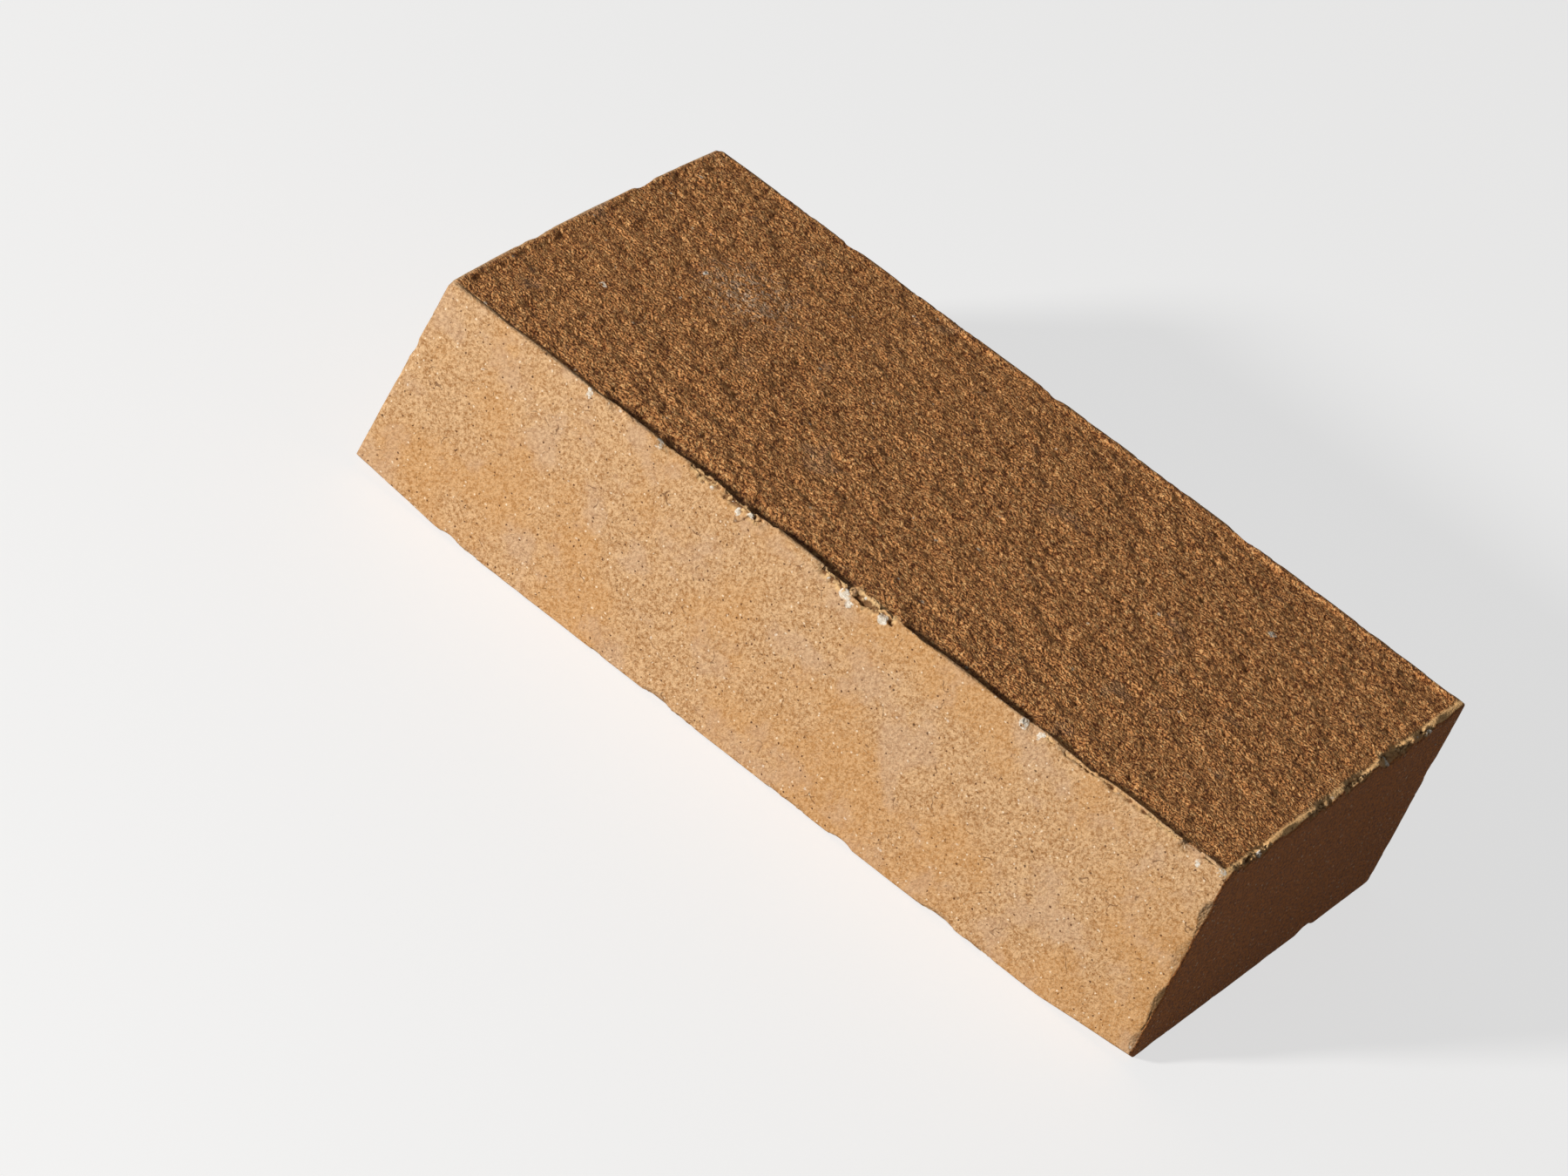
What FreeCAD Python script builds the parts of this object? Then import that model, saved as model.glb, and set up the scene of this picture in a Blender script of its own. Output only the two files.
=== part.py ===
# A straight refractory firebrick: one pressed and fired block of coarse fireclay, 220 x 110 x 55 mm.
# The brick lies on its lower bed. X runs along its length, Y across its width and Z is up.
# The origin is the middle of the lower bed. All sizes are in millimetres.
import FreeCAD
import Part

import math
import os

from FreeCAD import Vector

# The block as it leaves the press.
LENGTH = 220.0
WIDTH = 110.0
HEIGHT = 55.0

# The left end and the back face are a little swollen, and out of square: at the top they stand
# further in than at the foot.
END_BOW = 1.0
BACK_BOW = 0.9
END_LEAN = 4.4
BACK_LEAN = 2.4

# The arrises are worn to a small round.
ARRIS_RADIUS = 0.6

# The upper bed is sunk inside a thin, uneven rim. It falls towards the right end and the front, so
# that the rim stands higher there than in the middle, and is all but gone at the back left corner.
RIM_HEIGHT = 0.6
RIM_GAIN_RIGHT = 0.3
RIM_GAIN_FRONT = 0.2
RIM_WIDTH = 1.3
RIM_SLOPE = 0.6
RIM_STEP = 5.0

# The waves in the rim's inner line: how far each swings, its length along the arris and its start in turns.
RIM_WAVES = [(0.35, 23.0, 0.11), (0.2, 11.5, 0.34)]

# Each arris is named by the two corners that it joins: -1 or 1 for left or right, front or back,
# foot or top.
FRONT_TOP = ((-1, -1, 1), (1, -1, 1))
BACK_TOP = ((-1, 1, 1), (1, 1, 1))
RIGHT_TOP = ((1, -1, 1), (1, 1, 1))
LEFT_TOP = ((-1, -1, 1), (-1, 1, 1))
FRONT_FOOT = ((-1, -1, -1), (1, -1, -1))
BACK_FOOT = ((-1, 1, -1), (1, 1, -1))
RIGHT_FOOT = ((1, -1, -1), (1, 1, -1))
LEFT_FOOT = ((-1, -1, -1), (-1, 1, -1))
FRONT_RIGHT = ((1, -1, -1), (1, -1, 1))
FRONT_LEFT = ((-1, -1, -1), (-1, -1, 1))
BACK_RIGHT = ((1, 1, -1), (1, 1, 1))
BACK_LEFT = ((-1, 1, -1), (-1, 1, 1))

# The flakes knocked off the arrises: the arris, how far along it as a share of its length, the
# flake's length and depth, and its lean, from -1 to 1, towards the first or second face of the arris.
FLAKES = [
    (FRONT_TOP, 0.222, 5.5, 1.5, -0.4),
    (FRONT_TOP, 0.290, 8.0, 1.6, 0.2),
    (FRONT_TOP, 0.352, 13.0, 1.3, -0.3),
    (FRONT_TOP, 0.415, 7.0, 2.1, -0.1),
    (FRONT_TOP, 0.540, 9.0, 1.9, 0.3),
    (FRONT_TOP, 0.583, 12.0, 1.5, 0.0),
    (FRONT_TOP, 0.757, 6.5, 1.9, -0.2),
    (FRONT_TOP, 0.806, 16.0, 1.3, 0.2),
    (FRONT_TOP, 0.872, 14.0, 1.2, -0.2),
    (FRONT_TOP, 0.953, 6.5, 2.0, -0.5),
    (RIGHT_TOP, 0.110, 11.0, 1.3, 0.3),
    (RIGHT_TOP, 0.262, 10.0, 1.1, -0.2),
    (RIGHT_TOP, 0.418, 13.0, 1.6, 0.2),
    (RIGHT_TOP, 0.530, 9.0, 1.2, 0.5),
    (RIGHT_TOP, 0.686, 13.0, 2.2, -0.1),
    (RIGHT_TOP, 0.808, 7.0, 1.7, -0.4),
    (RIGHT_TOP, 0.915, 9.0, 1.1, 0.1),
    (FRONT_RIGHT, 0.115, 7.0, 1.1, 0.3),
    (FRONT_RIGHT, 0.335, 10.0, 1.3, -0.2),
    (FRONT_RIGHT, 0.560, 12.0, 1.1, 0.4),
    (FRONT_RIGHT, 0.785, 9.0, 1.5, 0.0),
    (FRONT_LEFT, 0.640, 6.0, 1.0, 0.2),
    (FRONT_FOOT, 0.130, 8.0, 1.0, 0.2),
    (FRONT_FOOT, 0.405, 10.0, 1.2, -0.3),
    (FRONT_FOOT, 0.640, 8.0, 1.0, 0.1),
    (FRONT_FOOT, 0.765, 11.0, 1.1, -0.2),
    (BACK_TOP, 0.180, 9.0, 0.8, 0.2),
    (BACK_TOP, 0.455, 8.0, 0.9, -0.1),
    (BACK_TOP, 0.715, 13.0, 0.8, 0.3),
    (LEFT_TOP, 0.330, 8.0, 0.8, 0.1),
    (LEFT_TOP, 0.720, 10.0, 0.9, -0.3),
    (BACK_FOOT, 0.300, 15.0, 2.2, 0.2),
    (BACK_FOOT, 0.835, 9.0, 1.5, -0.2),
    (LEFT_FOOT, 0.590, 12.0, 1.8, 0.1),
    (RIGHT_FOOT, 0.720, 9.0, 1.4, -0.1),
    (BACK_RIGHT, 0.640, 8.0, 1.2, 0.2),
    (BACK_LEFT, 0.360, 10.0, 1.6, -0.2),
]

# The corners broken off flat: the corner, and how far the break runs along X, Y and Z.
BROKEN_CORNERS = [
    ((1, -1, -1), 28.0, 3.8, 2.9),
    ((-1, -1, -1), 32.0, 4.2, 3.1),
    ((1, -1, 1), 3.4, 2.4, 2.6),
    ((-1, -1, 1), 1.8, 2.2, 1.6),
    ((1, 1, -1), 2.0, 1.6, 2.4),
    ((-1, 1, 1), 1.6, 1.9, 1.5),
]

# The wedges that break the corners are this many times larger than the breaks.
BREAK_OVERSIZE = 2.0

half_length = LENGTH / 2
half_width = WIDTH / 2


def corner(along, across, up):
    """A sharp corner of the block, by its three signs."""
    x = half_length
    if along < 0:
        x = -half_length + END_BOW + END_LEAN * (up > 0)
    y = -half_width
    if across > 0:
        y = half_width - BACK_BOW - BACK_LEAN * (up > 0)
    return Vector(x, y, HEIGHT if up > 0 else 0)


def swell(arris, share):
    """How far an arris of a bowed face stands out of the line between its corners."""
    (along, across, _), (other_along, other_across, _) = arris
    full = 4 * share * (1 - share)
    if across == other_across > 0 and along != other_along:
        return Vector(0, BACK_BOW * full, 0)
    if along == other_along < 0 and across != other_across:
        return Vector(-END_BOW * full, 0, 0)
    return Vector(0, 0, 0)


def block():
    """The plain block: flat front, right end and beds, and a bowed and leaning back and left end."""
    left = -half_length + END_BOW
    right = half_length + END_LEAN
    back = half_width - BACK_BOW
    front_left = Vector(left, -half_width, 0)
    front_right = Vector(right, -half_width, 0)
    back_right = Vector(right, back, 0)
    back_left = Vector(left, back, 0)
    outline = Part.Wire([
        Part.makeLine(front_left, front_right),
        Part.makeLine(front_right, back_right),
        Part.Arc(back_right, Vector(0, half_width, 0), back_left).toShape(),
        Part.Arc(back_left, Vector(-half_length, 0, 0), front_left).toShape(),
    ])
    leaning = Part.Face(outline).extrude(Vector(END_LEAN, -BACK_LEAN, HEIGHT))
    square = Part.makeBox(LENGTH, WIDTH, HEIGHT, Vector(-half_length, -half_width, 0))
    return leaning.common(square).Solids[0]


def bed_depth(point):
    """How far the sunk bed lies under the rim's top at this place."""
    return RIM_HEIGHT + RIM_GAIN_RIGHT * point.x / half_length - RIM_GAIN_FRONT * point.y / half_width


def rim_line(inset, sink):
    """The rim's inner line: it follows the arrises at this inset, in uneven waves, on the rim's top
    where sink is 0, on the bed's level where it is 1, and as far above the rim where it is -1."""
    left = -half_length + END_BOW + END_LEAN + inset
    right = half_length - inset
    front = -half_width + inset
    back = half_width - BACK_BOW - BACK_LEAN - inset
    corners = [
        Vector(left, front, 0),
        Vector(right, front, 0),
        Vector(right, back, 0),
        Vector(left, back, 0),
    ]
    points = []
    for start, end in zip(corners, corners[1:] + corners[:1]):
        run = end - start
        steps = round(run.Length / RIM_STEP)
        inward = Vector(0, 0, 1).cross(run).normalize()
        for step in range(steps):
            travelled = run.Length * step / steps
            swing = 0
            for height, spacing, turn in RIM_WAVES:
                swing += height * math.sin(2 * math.pi * (travelled / spacing + turn))
            point = start + run * (step / steps) + inward * swing
            point.z = HEIGHT - sink * bed_depth(point)
            points.append(point)
    return Part.makePolygon(points + points[:1])


def sunk_bed():
    """The sunk field of the upper bed, with the sloping inner side of its rim."""
    floor = rim_line(RIM_WIDTH + RIM_SLOPE, 1)
    brink = rim_line(RIM_WIDTH, 0)
    above = rim_line(RIM_WIDTH, -1)
    return Part.makeLoft([floor, brink, above], True, True)


def flake(arris, share, length, depth, lean):
    """The hollow of one flake: a ball that bites into the arris over this length and to this depth."""
    first, second = arris
    start = corner(*first)
    centre = start + (corner(*second) - start) * share + swell(arris, share)
    normals = []
    for axis in range(3):
        if first[axis] == second[axis]:
            normal = [0, 0, 0]
            normal[axis] = first[axis]
            normals.append(Vector(*normal))
    outward = (normals[0] * (1 - lean) + normals[1] * (1 + lean)).normalize()
    radius = (length ** 2 / 4 + depth ** 2) / (2 * depth)
    return Part.makeSphere(radius, centre + outward * (radius - depth))


def broken_corner(signs, along, across, up):
    """The wedge missing from a broken corner, made larger than the corner so that it cuts clean."""
    tip = corner(*signs)
    arms = [Vector(-signs[0] * along, 0, 0), Vector(0, -signs[1] * across, 0), Vector(0, 0, -signs[2] * up)]
    middle = tip + (arms[0] + arms[1] + arms[2]) / 3
    base = [middle + (tip + arm - middle) * BREAK_OVERSIZE for arm in arms]
    outer = tip + (tip - middle) * BREAK_OVERSIZE
    sides = [Part.makePolygon([base[i], base[(i + 1) % 3], outer, base[i]]) for i in range(3)]
    foot = Part.makePolygon(base + base[:1])
    shell = Part.makeShell([Part.Face(wire) for wire in sides + [foot]])
    return Part.makeSolid(shell)


def firebrick():
    """The block with its worn arrises, sunk bed, flakes and broken corners."""
    body = block()
    body = body.makeFillet(ARRIS_RADIUS, body.Edges)
    body = body.cut(sunk_bed())
    hollows = [flake(*damage) for damage in FLAKES]
    hollows += [broken_corner(*damage) for damage in BROKEN_CORNERS]
    return body.cut(hollows).Solids[0]


brick = firebrick()

os.makedirs("parts", exist_ok=True)
brick.exportStep("parts/firebrick.step")

box = brick.optimalBoundingBox(False, False)
print("firebrick", brick.ShapeType, "valid", brick.isValid(), "volume", round(brick.Volume))
print("size", round(box.XLength, 2), round(box.YLength, 2), round(box.ZLength, 2))
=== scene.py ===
import math

import bpy
from mathutils import Matrix, Vector


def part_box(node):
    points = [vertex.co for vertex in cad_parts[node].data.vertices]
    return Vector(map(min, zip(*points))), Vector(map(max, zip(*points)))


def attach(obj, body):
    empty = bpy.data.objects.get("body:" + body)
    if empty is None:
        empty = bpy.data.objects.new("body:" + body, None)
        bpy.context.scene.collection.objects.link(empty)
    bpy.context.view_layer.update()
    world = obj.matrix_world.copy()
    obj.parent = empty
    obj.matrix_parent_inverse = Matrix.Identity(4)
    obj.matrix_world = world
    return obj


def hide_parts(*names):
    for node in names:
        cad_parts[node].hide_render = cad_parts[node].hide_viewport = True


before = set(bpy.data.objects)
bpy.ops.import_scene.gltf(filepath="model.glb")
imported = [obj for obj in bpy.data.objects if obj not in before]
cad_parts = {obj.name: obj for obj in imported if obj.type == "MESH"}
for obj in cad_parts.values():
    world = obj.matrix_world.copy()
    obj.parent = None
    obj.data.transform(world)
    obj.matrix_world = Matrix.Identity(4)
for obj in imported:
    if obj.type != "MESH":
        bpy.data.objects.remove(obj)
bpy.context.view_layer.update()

# The view.
# The brick is seen from its front left, from above, with the camera rolled so that the long face
# runs down the picture from the upper left to the lower right.
EYE = Vector((0.4085, -1.1936, 0.8541))
AIM = Vector((-0.0197, -0.0152, 0.0161))
ROLL = math.radians(26.02)
LENS_MM = 158.38
SENSOR_MM = 36.0

view = bpy.data.cameras.new("view")
view.lens = LENS_MM
view.sensor_width = SENSOR_MM
view.clip_start = 0.1
view.clip_end = 50.0
viewer = bpy.data.objects.new("viewer", view)
bpy.context.collection.objects.link(viewer)
look = (AIM - EYE).to_track_quat("-Z", "Y").to_matrix().to_4x4()
viewer.matrix_world = Matrix.Translation(EYE) @ look @ Matrix.Rotation(ROLL, 4, "Z")
bpy.context.scene.camera = viewer


# The bench and the light.
# The brick lies on a plain pale floor. One large soft lamp stands low at the front left, so that the
# long face is bright and the bed is lit at a slant, and a pale room fills the shade.
FLOOR_REACH = 6.0
FLOOR_TONE = 0.42
FLOOR_LIFT = 0.66
ROOM_LIGHT = 0.11
LAMP_FROM = Vector((-0.42, -0.84, 0.31)).normalized()
LAMP_DISTANCE = 2.2
LAMP_SIZE = 0.26
LAMP_POWER = 48.5
LAMP_TINT = (1.0, 0.975, 0.94)


class Signal:
    """A node's output that takes part in plain arithmetic: an expression on signals adds its Math nodes."""

    def __init__(self, socket):
        self.socket = socket

    @classmethod
    def add(cls, tree, kind, settings=(), values=(), output=0):
        """Adds one node: its type, its settings, which are set first, and the values or links of its sockets."""
        node = tree.nodes.new(kind)
        for name, value in dict(settings).items():
            setattr(node, name, value)
        for name, value in dict(values).items():
            if isinstance(value, Signal):
                tree.links.new(value.socket, node.inputs[name])
            else:
                node.inputs[name].default_value = value
        return cls(node.outputs[output]) if node.outputs else None

    def also(self, output):
        """Another output of the same node."""
        return Signal(self.socket.node.outputs[output])

    def math(self, operation, *others):
        terms = enumerate((self, *others))
        return Signal.add(self.socket.id_data, "ShaderNodeMath", {"operation": operation}, terms)

    def __add__(self, other):
        return self.math("ADD", other)

    def __sub__(self, other):
        return self.math("SUBTRACT", other)

    def __rsub__(self, other):
        return self.math("MULTIPLY_ADD", -1.0, other)

    def __mul__(self, other):
        return self.math("MULTIPLY", other)

    def __truediv__(self, other):
        return self.math("DIVIDE", other)

    def __pow__(self, other):
        return self.math("POWER", other)

    __radd__ = __add__
    __rmul__ = __mul__

    def least(self, other):
        return self.math("MINIMUM", other)

    def most(self, other):
        return self.math("MAXIMUM", other)

    def step(self, start, end):
        """0 up to start and 1 from end on, with a smooth rise between; where end is the lower, it falls instead."""
        settings = {"interpolation_type": "SMOOTHSTEP"}
        values = {"Value": self, "From Min": start, "From Max": end}
        return Signal.add(self.socket.id_data, "ShaderNodeMapRange", settings, values)


def linear(red, green, blue):
    """A colour as it looks on screen, 0 to 255 a channel, turned into the light that the nodes work in."""
    shares = [channel / 255 for channel in (red, green, blue)]
    light = [share / 12.92 if share <= 0.04045 else ((share + 0.055) / 1.055) ** 2.4 for share in shares]
    return (*light, 1.0)


def blend(below, above, share):
    """The colour below, covered by the colour above to this share."""
    return Signal.add(share.socket.id_data, "ShaderNodeMix", {"data_type": "RGBA"}, {0: share, 6: below, 7: above}, 2)


def rays_to_background(tree):
    """1 for the rays that see the background itself, straight or in a reflection."""
    seen = Signal.add(tree, "ShaderNodeLightPath", output="Is Camera Ray")
    return (seen + seen.also("Is Glossy Ray") + seen.also("Is Transmission Ray")).least(1.0)


room = bpy.data.worlds.new("room")
bpy.context.scene.world = room
room.use_nodes = True
room.node_tree.nodes.clear()
strength = rays_to_background(room.node_tree) * (1 - ROOM_LIGHT) + ROOM_LIGHT
sky = Signal.add(room.node_tree, "ShaderNodeBackground", (), {"Color": linear(255, 255, 255), "Strength": strength})
Signal.add(room.node_tree, "ShaderNodeOutputWorld", (), {"Surface": sky})

floor_paint = bpy.data.materials.new("pale_floor")
floor_paint.use_nodes = True
floor_tree = floor_paint.node_tree
floor_tree.nodes.clear()
glow = blend(linear(0, 0, 0), linear(255, 255, 255), rays_to_background(floor_tree))
matt = Signal.add(floor_tree, "ShaderNodeBsdfPrincipled", (), {
    "Base Color": (FLOOR_TONE, FLOOR_TONE, FLOOR_TONE, 1.0),
    "Roughness": 0.9,
    "Specular IOR Level": 0.0,
    "Emission Color": glow,
    "Emission Strength": FLOOR_LIFT,
})
Signal.add(floor_tree, "ShaderNodeOutputMaterial", (), {"Surface": matt})

bpy.ops.mesh.primitive_circle_add(vertices=96, radius=FLOOR_REACH, fill_type="NGON", location=(0, 0, 0))
floor = bpy.context.active_object
floor.name = "floor"
floor.data.materials.append(floor_paint)

lamp = bpy.data.lights.new("lamp", "AREA")
lamp.shape = "DISK"
lamp.size = LAMP_SIZE
lamp.energy = LAMP_POWER
lamp.color = LAMP_TINT
lamp_stand = bpy.data.objects.new("lamp", lamp)
bpy.context.collection.objects.link(lamp_stand)
lamp_stand.location = LAMP_FROM * LAMP_DISTANCE
lamp_stand.rotation_mode = "QUATERNION"
lamp_stand.rotation_quaternion = (-LAMP_FROM).to_track_quat("-Z", "Y")


# The fired block.
# The brick is one block of coarse fireclay with grog in it, pressed, dried and fired. Its upper bed
# stays open and grainy inside a thin rim, its faces are rubbed nearly smooth, and its arrises crumble.
MILLIMETRE = 0.001
VOXEL = 0.4 * MILLIMETRE
TRIANGLES = 190000
END_BOW = 1.0
BACK_BOW = 0.9
END_LEAN = 4.4
BACK_LEAN = 2.4
RIM_REACH = 2.1
RIM_LIFT = 1.1

# The furrows in the bed along the foot of the front rim: from and to along the brick, and their depth.
FURROWS = [(-101.0, -63.0, 0.2), (-62.0, -47.0, 0.7), (-45.0, 8.0, 0.9), (22.0, 56.0, 0.9), (58.0, 106.0, 0.3)]

# Where the upper front arris, along the brick, and the right one, across it, have crumbled: from, to
# and how far the crumbs reach from the arris.
FRONT_CRUMBLED = [(-36.0, -16.0, 2.6), (0.0, 20.0, 3.6), (55.0, 106.0, 1.1)]
RIGHT_CRUMBLED = [(-51.0, -36.0, 2.4), (-19.0, -8.0, 2.6), (-3.0, 8.0, 2.6), (13.0, 27.0, 3.4), (31.0, 37.0, 2.2)]

# Grog pebbles that lie bare in the crumbled arrises and, the last three, in the bed: their places and radii.
PEBBLES = [
    ((-64.3, -55.0, 53.7), 1.2),
    ((-45.0, -54.6, 54.3), 1.3),
    ((-29.6, -55.0, 53.6), 1.0),
    ((-22.1, -55.0, 52.5), 1.1),
    ((-19.1, -54.8, 53.7), 1.2),
    ((7.6, -55.0, 52.3), 1.5),
    ((9.3, -55.0, 51.4), 1.3),
    ((17.5, -54.8, 53.2), 1.5),
    ((55.3, -54.7, 54.0), 1.4),
    ((59.6, -54.7, 54.0), 1.2),
    ((102.7, -55.0, 52.7), 1.1),
    ((108.0, -54.5, 54.0), 1.2),
    ((109.6, -40.5, 53.8), 1.0),
    ((109.6, 18.0, 53.4), 1.5),
    ((109.6, 35.0, 53.6), 1.3),
    ((-86.6, -20.3, 54.5), 1.0),
    ((-77.1, 7.5, 54.6), 0.9),
    ((70.7, 28.1, 54.3), 1.3),
]

low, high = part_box("firebrick")
half_length = (high.x - low.x) / 2 / MILLIMETRE
half_width = (high.y - low.y) / 2 / MILLIMETRE
height = (high.z - low.z) / MILLIMETRE


def in_millimetres(tree, metres):
    """A place given in metres: as one vector in millimetres, and as its three distances."""
    scaled = {"Vector": metres, "Scale": 1 / MILLIMETRE}
    place = Signal.add(tree, "ShaderNodeVectorMath", {"operation": "SCALE"}, scaled)
    along = Signal.add(tree, "ShaderNodeSeparateXYZ", (), {"Vector": place})
    return place, along, along.also("Y"), along.also("Z")


def noise(place, size, detail=1.0, roughness=0.5):
    """Soft noise, 0 to 1 about a half, whose lumps are about this many millimetres across."""
    values = {"Vector": place, "Scale": 1 / size, "Detail": detail, "Roughness": roughness}
    return Signal.add(place.socket.id_data, "ShaderNodeTexNoise", {"noise_dimensions": "3D"}, values)


def cells(place, size, feature="F1"):
    """Cells of about this size in millimetres: the distance, in cells, from each one's centre or border."""
    values = {"Vector": place, "Scale": 1 / size}
    return Signal.add(place.socket.id_data, "ShaderNodeTexVoronoi", {"feature": feature}, values)


def moved(place, shift):
    """The same place, moved by this many millimetres, so that a noise doesn't repeat another."""
    tree = place.socket.id_data
    return Signal.add(tree, "ShaderNodeVectorMath", {"operation": "ADD"}, {0: place, 1: (shift, shift, shift)})


def crooked(place, size, reach):
    """The same place, pushed about by soft noise, so that a line drawn there comes out crooked."""
    tree = place.socket.id_data
    push = noise(place, size).also("Color")
    settings = {"operation": "MULTIPLY_ADD"}
    return Signal.add(tree, "ShaderNodeVectorMath", settings, {0: push, 1: (reach, reach, reach), 2: place})


def specks(place, spacing, radius):
    """Uneven specks of about this radius, one in each cell this far apart, and each speck's chance, 0 to 1."""
    centre = cells(place, spacing)
    chance = Signal.add(place.socket.id_data, "ShaderNodeSeparateXYZ", (), {"Vector": centre.also("Color")})
    reach = (chance.also("Y") * 0.7 + 0.6) * (radius / spacing)
    uneven = centre * (noise(place, radius * 1.3) * 1.6 + 0.2)
    return uneven.step(reach, reach * 0.7), chance


def granules(place):
    """The crumbs of clay that the bed is made of: 1 on each one's top, and lower between them."""
    return 1 - cells(crooked(moved(place, 31.0), 1.2, 1.0), 1.25) ** 2


def stretch(along, start, end):
    """1 from start to end and 0 beyond them, with soft ends."""
    return along.step(start - 1, start + 1) * along.step(end + 1, end - 1)


def kept_as(name, kind, value, mesh):
    """The mesh with a value kept on its points, for the fireclay to read."""
    settings = {"data_type": kind, "domain": "POINT"}
    values = {"Geometry": mesh, "Name": name, "Value": value}
    return Signal.add(relief, "GeometryNodeStoreNamedAttribute", settings, values)


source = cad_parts["firebrick"]
block = bpy.data.objects.new("fired_block", source.data.copy())
bpy.context.collection.objects.link(block)
block.data.materials.clear()

relief = bpy.data.node_groups.new("relief", "GeometryNodeTree")
relief.interface.new_socket("Mesh", in_out="INPUT", socket_type="NodeSocketGeometry")
relief.interface.new_socket("Mesh", in_out="OUTPUT", socket_type="NodeSocketGeometry")
plain = Signal.add(relief, "NodeGroupInput")
position = Signal.add(relief, "GeometryNodeInputPosition")
place, x, y, z = in_millimetres(relief, position)

# How far the place is from the nearest end, side or bed, and so from the nearest arris.
left = x + half_length - END_BOW * (y / half_width) ** 2 - z * (END_LEAN / height)
back = half_width - y - BACK_BOW * (x / half_length) ** 2 - z * (BACK_LEAN / height)
end_gap = left.least(half_length - x)
side_gap = back.least(y + half_width)
plan_gap = end_gap.least(side_gap)
arris_gap = plan_gap.most(end_gap.most(side_gap).least(z.least(height - z)))

# The sunk bed: soft waves, granules and small hollows, and the furrow along the foot of the front rim.
thin_rim = (left + 1.3).least(back + 1.3)
rim_gap = thin_rim.least(half_length - x).least(y + half_width)
inside = (rim_gap + (noise(place, 2.2) - 0.5) * 1.2).step(RIM_REACH - 0.4, RIM_REACH + 0.4)
in_bed = inside * z.step(height - RIM_LIFT - 0.7, height - RIM_LIFT - 0.2)
furrow = 0.0
for start, end, depth in FURROWS:
    furrow = stretch(x, start, end) * depth + furrow
furrow = furrow * (y + half_width).step(7.5, 3.2)
speck, chance = specks(moved(place, 37.0), 5.0, 0.7)
bed_sink = furrow + speck * chance.math("LESS_THAN", 0.3) * 0.5
lumps = noise(moved(place, 57.0), 6.0, 2.0) - 0.5
knobs = noise(moved(place, 31.0), 2.7) - 0.5
bed_rise = lumps * 1.7 + knobs * 1.0 + granules(place) * 0.15 - 0.1 - bed_sink

# The crumbled arrises, with the pebbles that they have laid bare.
high_up = z.step(height - 5, height - 3)
front = (y + half_width).step(5.0, 3.0) * high_up
right = (half_length - x).step(5.0, 3.0) * high_up * (1 - front)
reach = noise(moved(place, 23.0), 12.0).step(0.5, 0.6) * (1 - front) * (1 - right) * 0.55
for start, end, width in FRONT_CRUMBLED:
    reach = reach.most(front * stretch(x, start, end) * width)
for start, end, width in RIGHT_CRUMBLED:
    reach = reach.most(right * stretch(y, start, end) * width)
ragged = noise(moved(place, 83.0), 2.6, 3.0, 0.6).step(0.3, 0.6)
wear = (arris_gap / (reach * ragged + 0.3)).step(1.0, 0.6)
crumbled = wear * reach.step(0.2, 1.0)
crumb_sink = crumbled * cells(crooked(moved(place, 47.0), 0.9, 1.0), 1.1).step(0.15, 0.75) * 0.7
bent = crooked(place, 1.8, 1.8)
pebble = None
for (along, across, up), radius in PEBBLES:
    centre = (along + 0.9, across + 0.9, up + 0.9)
    away = Signal.add(relief, "ShaderNodeVectorMath", {"operation": "DISTANCE"}, {0: bent, 1: centre}, "Value")
    within = 1 - away / radius
    pebble = within if pebble is None else pebble.most(within)
pebble = pebble.step(0.0, 0.4)
unevenness = noise(moved(place, 5.0), 12.0, 2.0) * 0.25
face_rise = (pebble * 0.6 - unevenness - wear * 0.1 - crumbled * 0.3 - crumb_sink).least(0.0)

rise = bed_rise.least(height - z) * in_bed + face_rise * (1 - in_bed)
# The sinks are kept for the fireclay, which paints them darker: painted shade.
sink = bed_sink * in_bed + crumb_sink * (1 - in_bed)
zones = Signal.add(relief, "ShaderNodeCombineXYZ", (), {"X": in_bed, "Y": crumbled, "Z": pebble})
mesh = kept_as("rest", "FLOAT_VECTOR", position, plain)
mesh = kept_as("zones", "FLOAT_VECTOR", zones, mesh)
mesh = kept_as("sink", "FLOAT", sink, mesh)
outward = Signal.add(relief, "GeometryNodeInputNormal")
push = Signal.add(relief, "ShaderNodeVectorMath", {"operation": "SCALE"}, {
    "Vector": outward,
    "Scale": rise * MILLIMETRE,
})
shaped = Signal.add(relief, "GeometryNodeSetPosition", (), {"Geometry": mesh, "Offset": push})
Signal.add(relief, "NodeGroupOutput", (), {"Mesh": shaped})

remesh = block.modifiers.new("remesh", "REMESH")
remesh.mode = "VOXEL"
remesh.voxel_size = VOXEL
remesh.use_smooth_shade = True
block.modifiers.new("relief", "NODES").node_group = relief


def apply_modifiers(thing):
    """Turns what the modifiers make into the object's own mesh, and takes them off."""
    made = bpy.data.meshes.new_from_object(thing.evaluated_get(bpy.context.evaluated_depsgraph_get()))
    thing.modifiers.clear()
    thing.data = made


apply_modifiers(block)
block.data.calc_loop_triangles()
thinning = block.modifiers.new("thinning", "DECIMATE")
thinning.ratio = min(1.0, TRIANGLES / len(block.data.loop_triangles))
thinning.use_collapse_triangulate = True
apply_modifiers(block)
block.data.name = "fired_block"

# The finer mesh can stand a hundredth of a millimetre outside the block's box, and is put back inside it.
for point in block.data.vertices:
    point.co = [min(max(value, least), most) for value, least, most in zip(point.co, low, high)]

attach(block, "root")
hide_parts("firebrick")


# The fireclay.
# Buff fireclay, fired hard. The rubbed faces are an even tan with fine specks, hairlines and dust,
# the bed is browner with dark hollows, and the broken arrises show pale clay and white grog.
# Shade and light are painted in as well: the right end, the pits, the bed's hollows, furrow and
# creases and the gaps between crumbs are painted dark as shade, and the right lip, the tops of the
# bed's grains and the broken crumbs carry painted highlights.
SMEAR = (-66.7, 11.1, 54.5)

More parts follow.
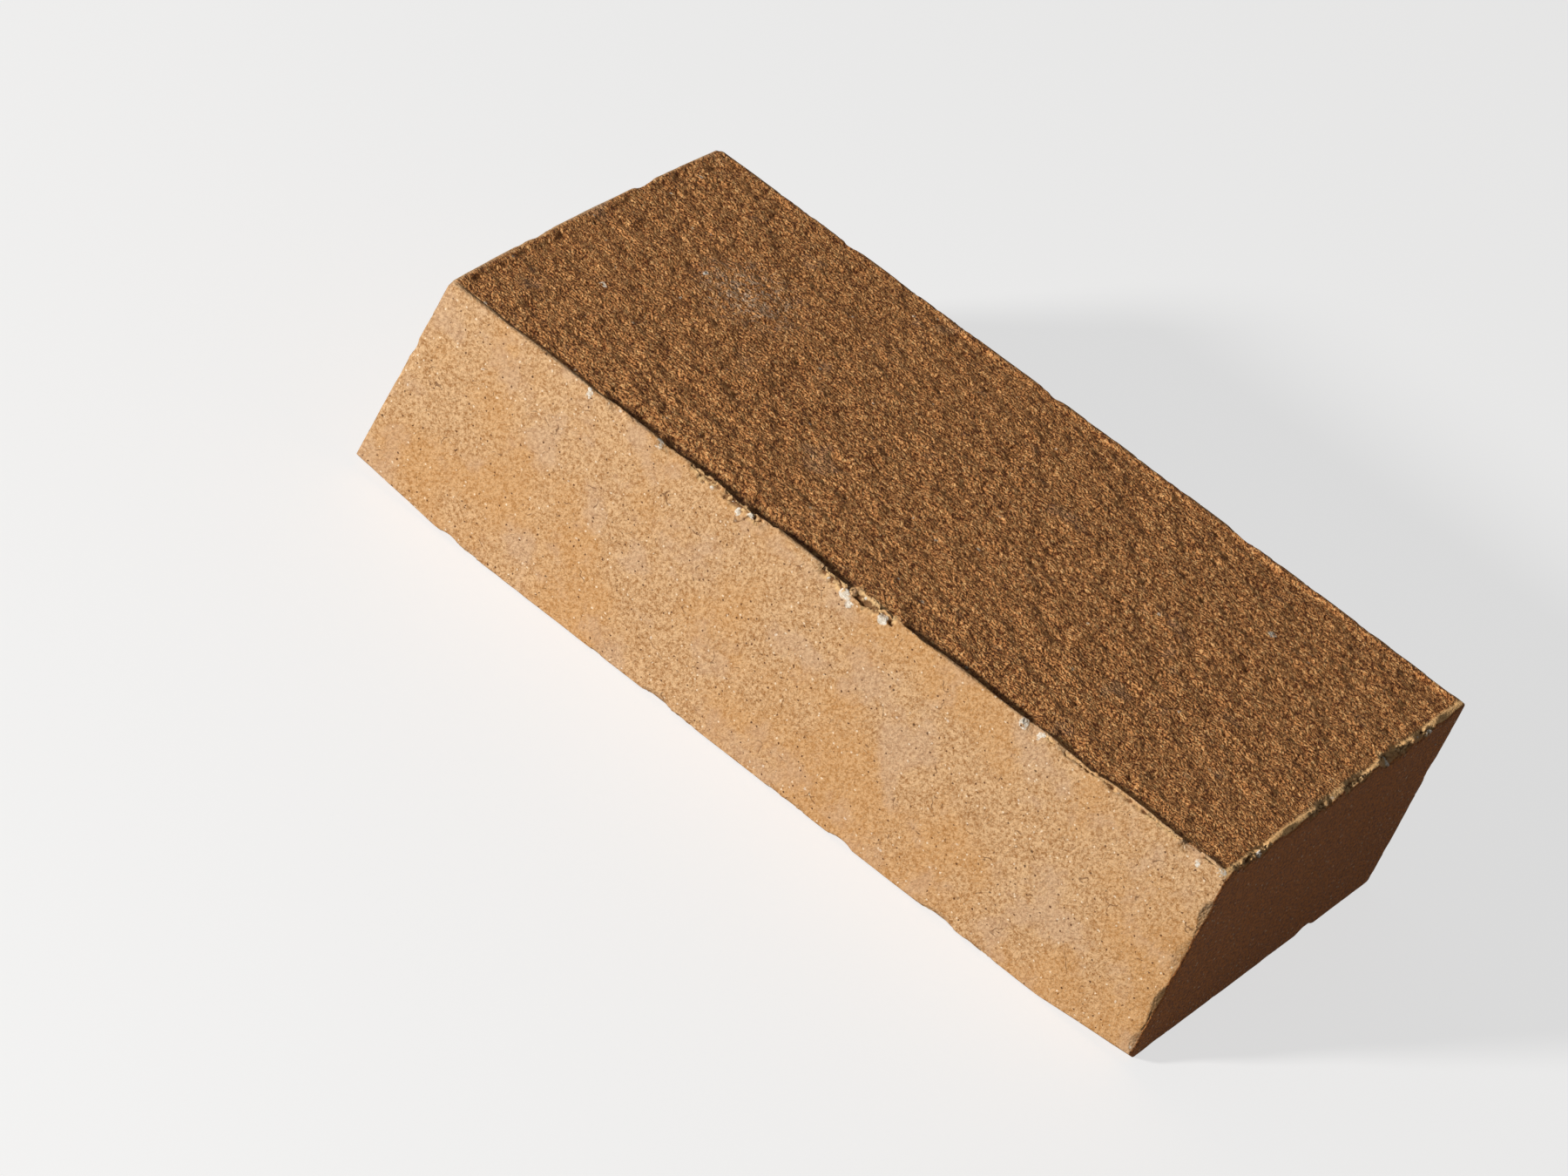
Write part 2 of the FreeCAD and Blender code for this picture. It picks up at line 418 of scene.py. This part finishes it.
fireclay = bpy.data.materials.new("fireclay")
fireclay.use_nodes = True
clay_tree = fireclay.node_tree
clay_tree.nodes.clear()
rest = Signal.add(clay_tree, "ShaderNodeAttribute", {"attribute_name": "rest"}, output="Vector")
place, x, y, z = in_millimetres(clay_tree, rest)
zones = Signal.add(clay_tree, "ShaderNodeAttribute", {"attribute_name": "zones"}, output="Vector")
in_bed = Signal.add(clay_tree, "ShaderNodeSeparateXYZ", (), {"Vector": zones})
crumbled = in_bed.also("Y")
pebble = in_bed.also("Z")
sink = Signal.add(clay_tree, "ShaderNodeAttribute", {"attribute_name": "sink"}, output="Fac")

# What both finishes share: fine grit, patches of dust, and small and larger specks, dark or pale.
# The dark specks are painted shade of small pits, which have no relief of their own; the pale ones
# are grog, and on the bed the small pale ones are painted highlights on grains.
grit = noise(place, 0.7, 2.0, 0.85)
dust = noise(moved(place, 43.0), 14.0, 3.0, 0.65)
fine, fine_chance = specks(moved(place, 29.0), 1.5, 0.25)
fine_pit_shade = fine * fine_chance.math("LESS_THAN", 0.4)
fine_grog_and_highlight = fine * fine_chance.math("GREATER_THAN", 0.65)
coarse, coarse_chance = specks(moved(place, 67.0), 3.6, 0.42)
end_face = (half_length - x).step(0.5, 0.2)
coarse_pit_shade = coarse * (end_face * 0.45 + 0.15 - coarse_chance).math("GREATER_THAN", 0.0)
coarse_pale = coarse * coarse_chance.math("GREATER_THAN", 0.8)

tan = blend(linear(162, 113, 65), linear(227, 187, 141), grit.step(0.28, 0.68))
tan = blend(tan, linear(206, 148, 82), noise(moved(place, 71.0), 26.0, 2.0, 0.6).step(0.44, 0.62) * 0.35)
tan = blend(tan, linear(206, 174, 146), dust.step(0.5, 0.66) * 0.35)
# The right end is painted darker and browner: painted shade, warm as shade lit by bounced light.
tan = blend(tan, blend(linear(60, 26, 9), linear(200, 122, 60), grit.step(0.3, 0.7)), end_face * 0.95)
# The top of the right lip is painted pale: a painted highlight where its slope meets the light.
lip_highlight = (half_length - x).step(2.7, 2.1) * z.step(height - 1.6, height - 1.0)
tan = blend(tan, linear(252, 202, 138), lip_highlight * (1 - end_face) * grit.step(0.25, 0.55) * 0.85)
# Dark specks: painted shade of small pits, more of them on the right end. Pale specks: grog.
tan = blend(tan, linear(84, 48, 24), fine_pit_shade * 0.9)
tan = blend(tan, linear(255, 234, 204), fine_grog_and_highlight * 0.7)
tan = blend(tan, linear(236, 216, 194), coarse_pale * 0.7)
tan = blend(tan, linear(64, 36, 18), coarse_pit_shade * 0.8)

# The bed's tone is partly its own grain, partly painted shade in the creases between granules and painted highlights
# on the highest grit.
grain_and_shading = grit.step(0.3, 0.7) * 0.7 + granules(place).step(0.5, 1.0) * 0.3
bed = blend(linear(103, 55, 23), linear(219, 151, 90), grain_and_shading.step(0.13, 0.6))
bed = blend(bed, linear(255, 200, 134), grain_and_shading.step(0.6, 0.92))
bed = blend(bed, linear(174, 142, 114), dust.step(0.6, 0.7) * 0.3)
smear = Signal.add(clay_tree, "ShaderNodeVectorMath", {"operation": "DISTANCE"}, {0: place, 1: SMEAR}, "Value")
bed = blend(bed, linear(226, 198, 168), smear.step(17, 3) * noise(moved(place, 61.0), 1.2, 3.0, 0.8).step(0.48, 0.62) * 0.7)
# Small dark specks are painted shade of hollows; small pale ones are painted highlights on grains.
bed = blend(bed, linear(54, 27, 11), fine_pit_shade * 0.8)
bed = blend(bed, linear(255, 208, 150), fine_grog_and_highlight * 0.6)
bed = blend(bed, linear(216, 196, 172), coarse_pale * coarse_chance.math("GREATER_THAN", 0.88) * 0.8)
# The bed's furrow and hollows are painted darker: painted shade.
bed = blend(bed, linear(40, 22, 10), sink.step(0.0, 0.9) * 0.6)
colour = blend(tan, bed, in_bed)

# Broken clay is pale, partly its own colour and partly a painted highlight on crumbs that catch the light, and darker
# in the hollows between crumbs: painted shade.
broken_with_painted_light = blend(linear(240, 200, 144), linear(104, 64, 32), sink.step(0.1, 0.6) * 0.8 + (1 - grit.step(0.3, 0.7)) * 0.2)
broken_with_painted_light = blend(broken_with_painted_light, linear(226, 218, 204), fine_chance.math("GREATER_THAN", 0.8) * fine.step(0.0, 0.5))
colour = blend(colour, broken_with_painted_light, crumbled)
white = blend(linear(208, 192, 170), linear(250, 241, 226), grit.step(0.35, 0.65))
colour = blend(colour, white, pebble.step(0.3, 0.6) * noise(moved(place, 7.0), 1.1, 2.0, 0.7).step(0.38, 0.5))

crack = cells(crooked(place, 2.4, 2.6), 9.5, "DISTANCE_TO_EDGE").step(0.016, 0.006)
crack = crack * noise(moved(place, 91.0), 5.0, 2.0, 0.7).step(0.6, 0.64) * (1 - in_bed)
colour = blend(colour, linear(104, 68, 40), crack * 0.7)

fine_rise = noise(moved(place, 3.0), 0.6) * (in_bed * 0.6 + 0.3)
bumps = Signal.add(clay_tree, "ShaderNodeBump", (), {"Strength": 1.0, "Distance": MILLIMETRE, "Height": fine_rise})
surface = Signal.add(clay_tree, "ShaderNodeBsdfPrincipled", (), {
    "Base Color": colour,
    "Roughness": 0.93,
    "Specular IOR Level": 0.25,
    "Normal": bumps,
})
Signal.add(clay_tree, "ShaderNodeOutputMaterial", (), {"Surface": surface})
block.data.materials.append(fireclay)

bpy.context.scene.view_settings.view_transform = "Standard"
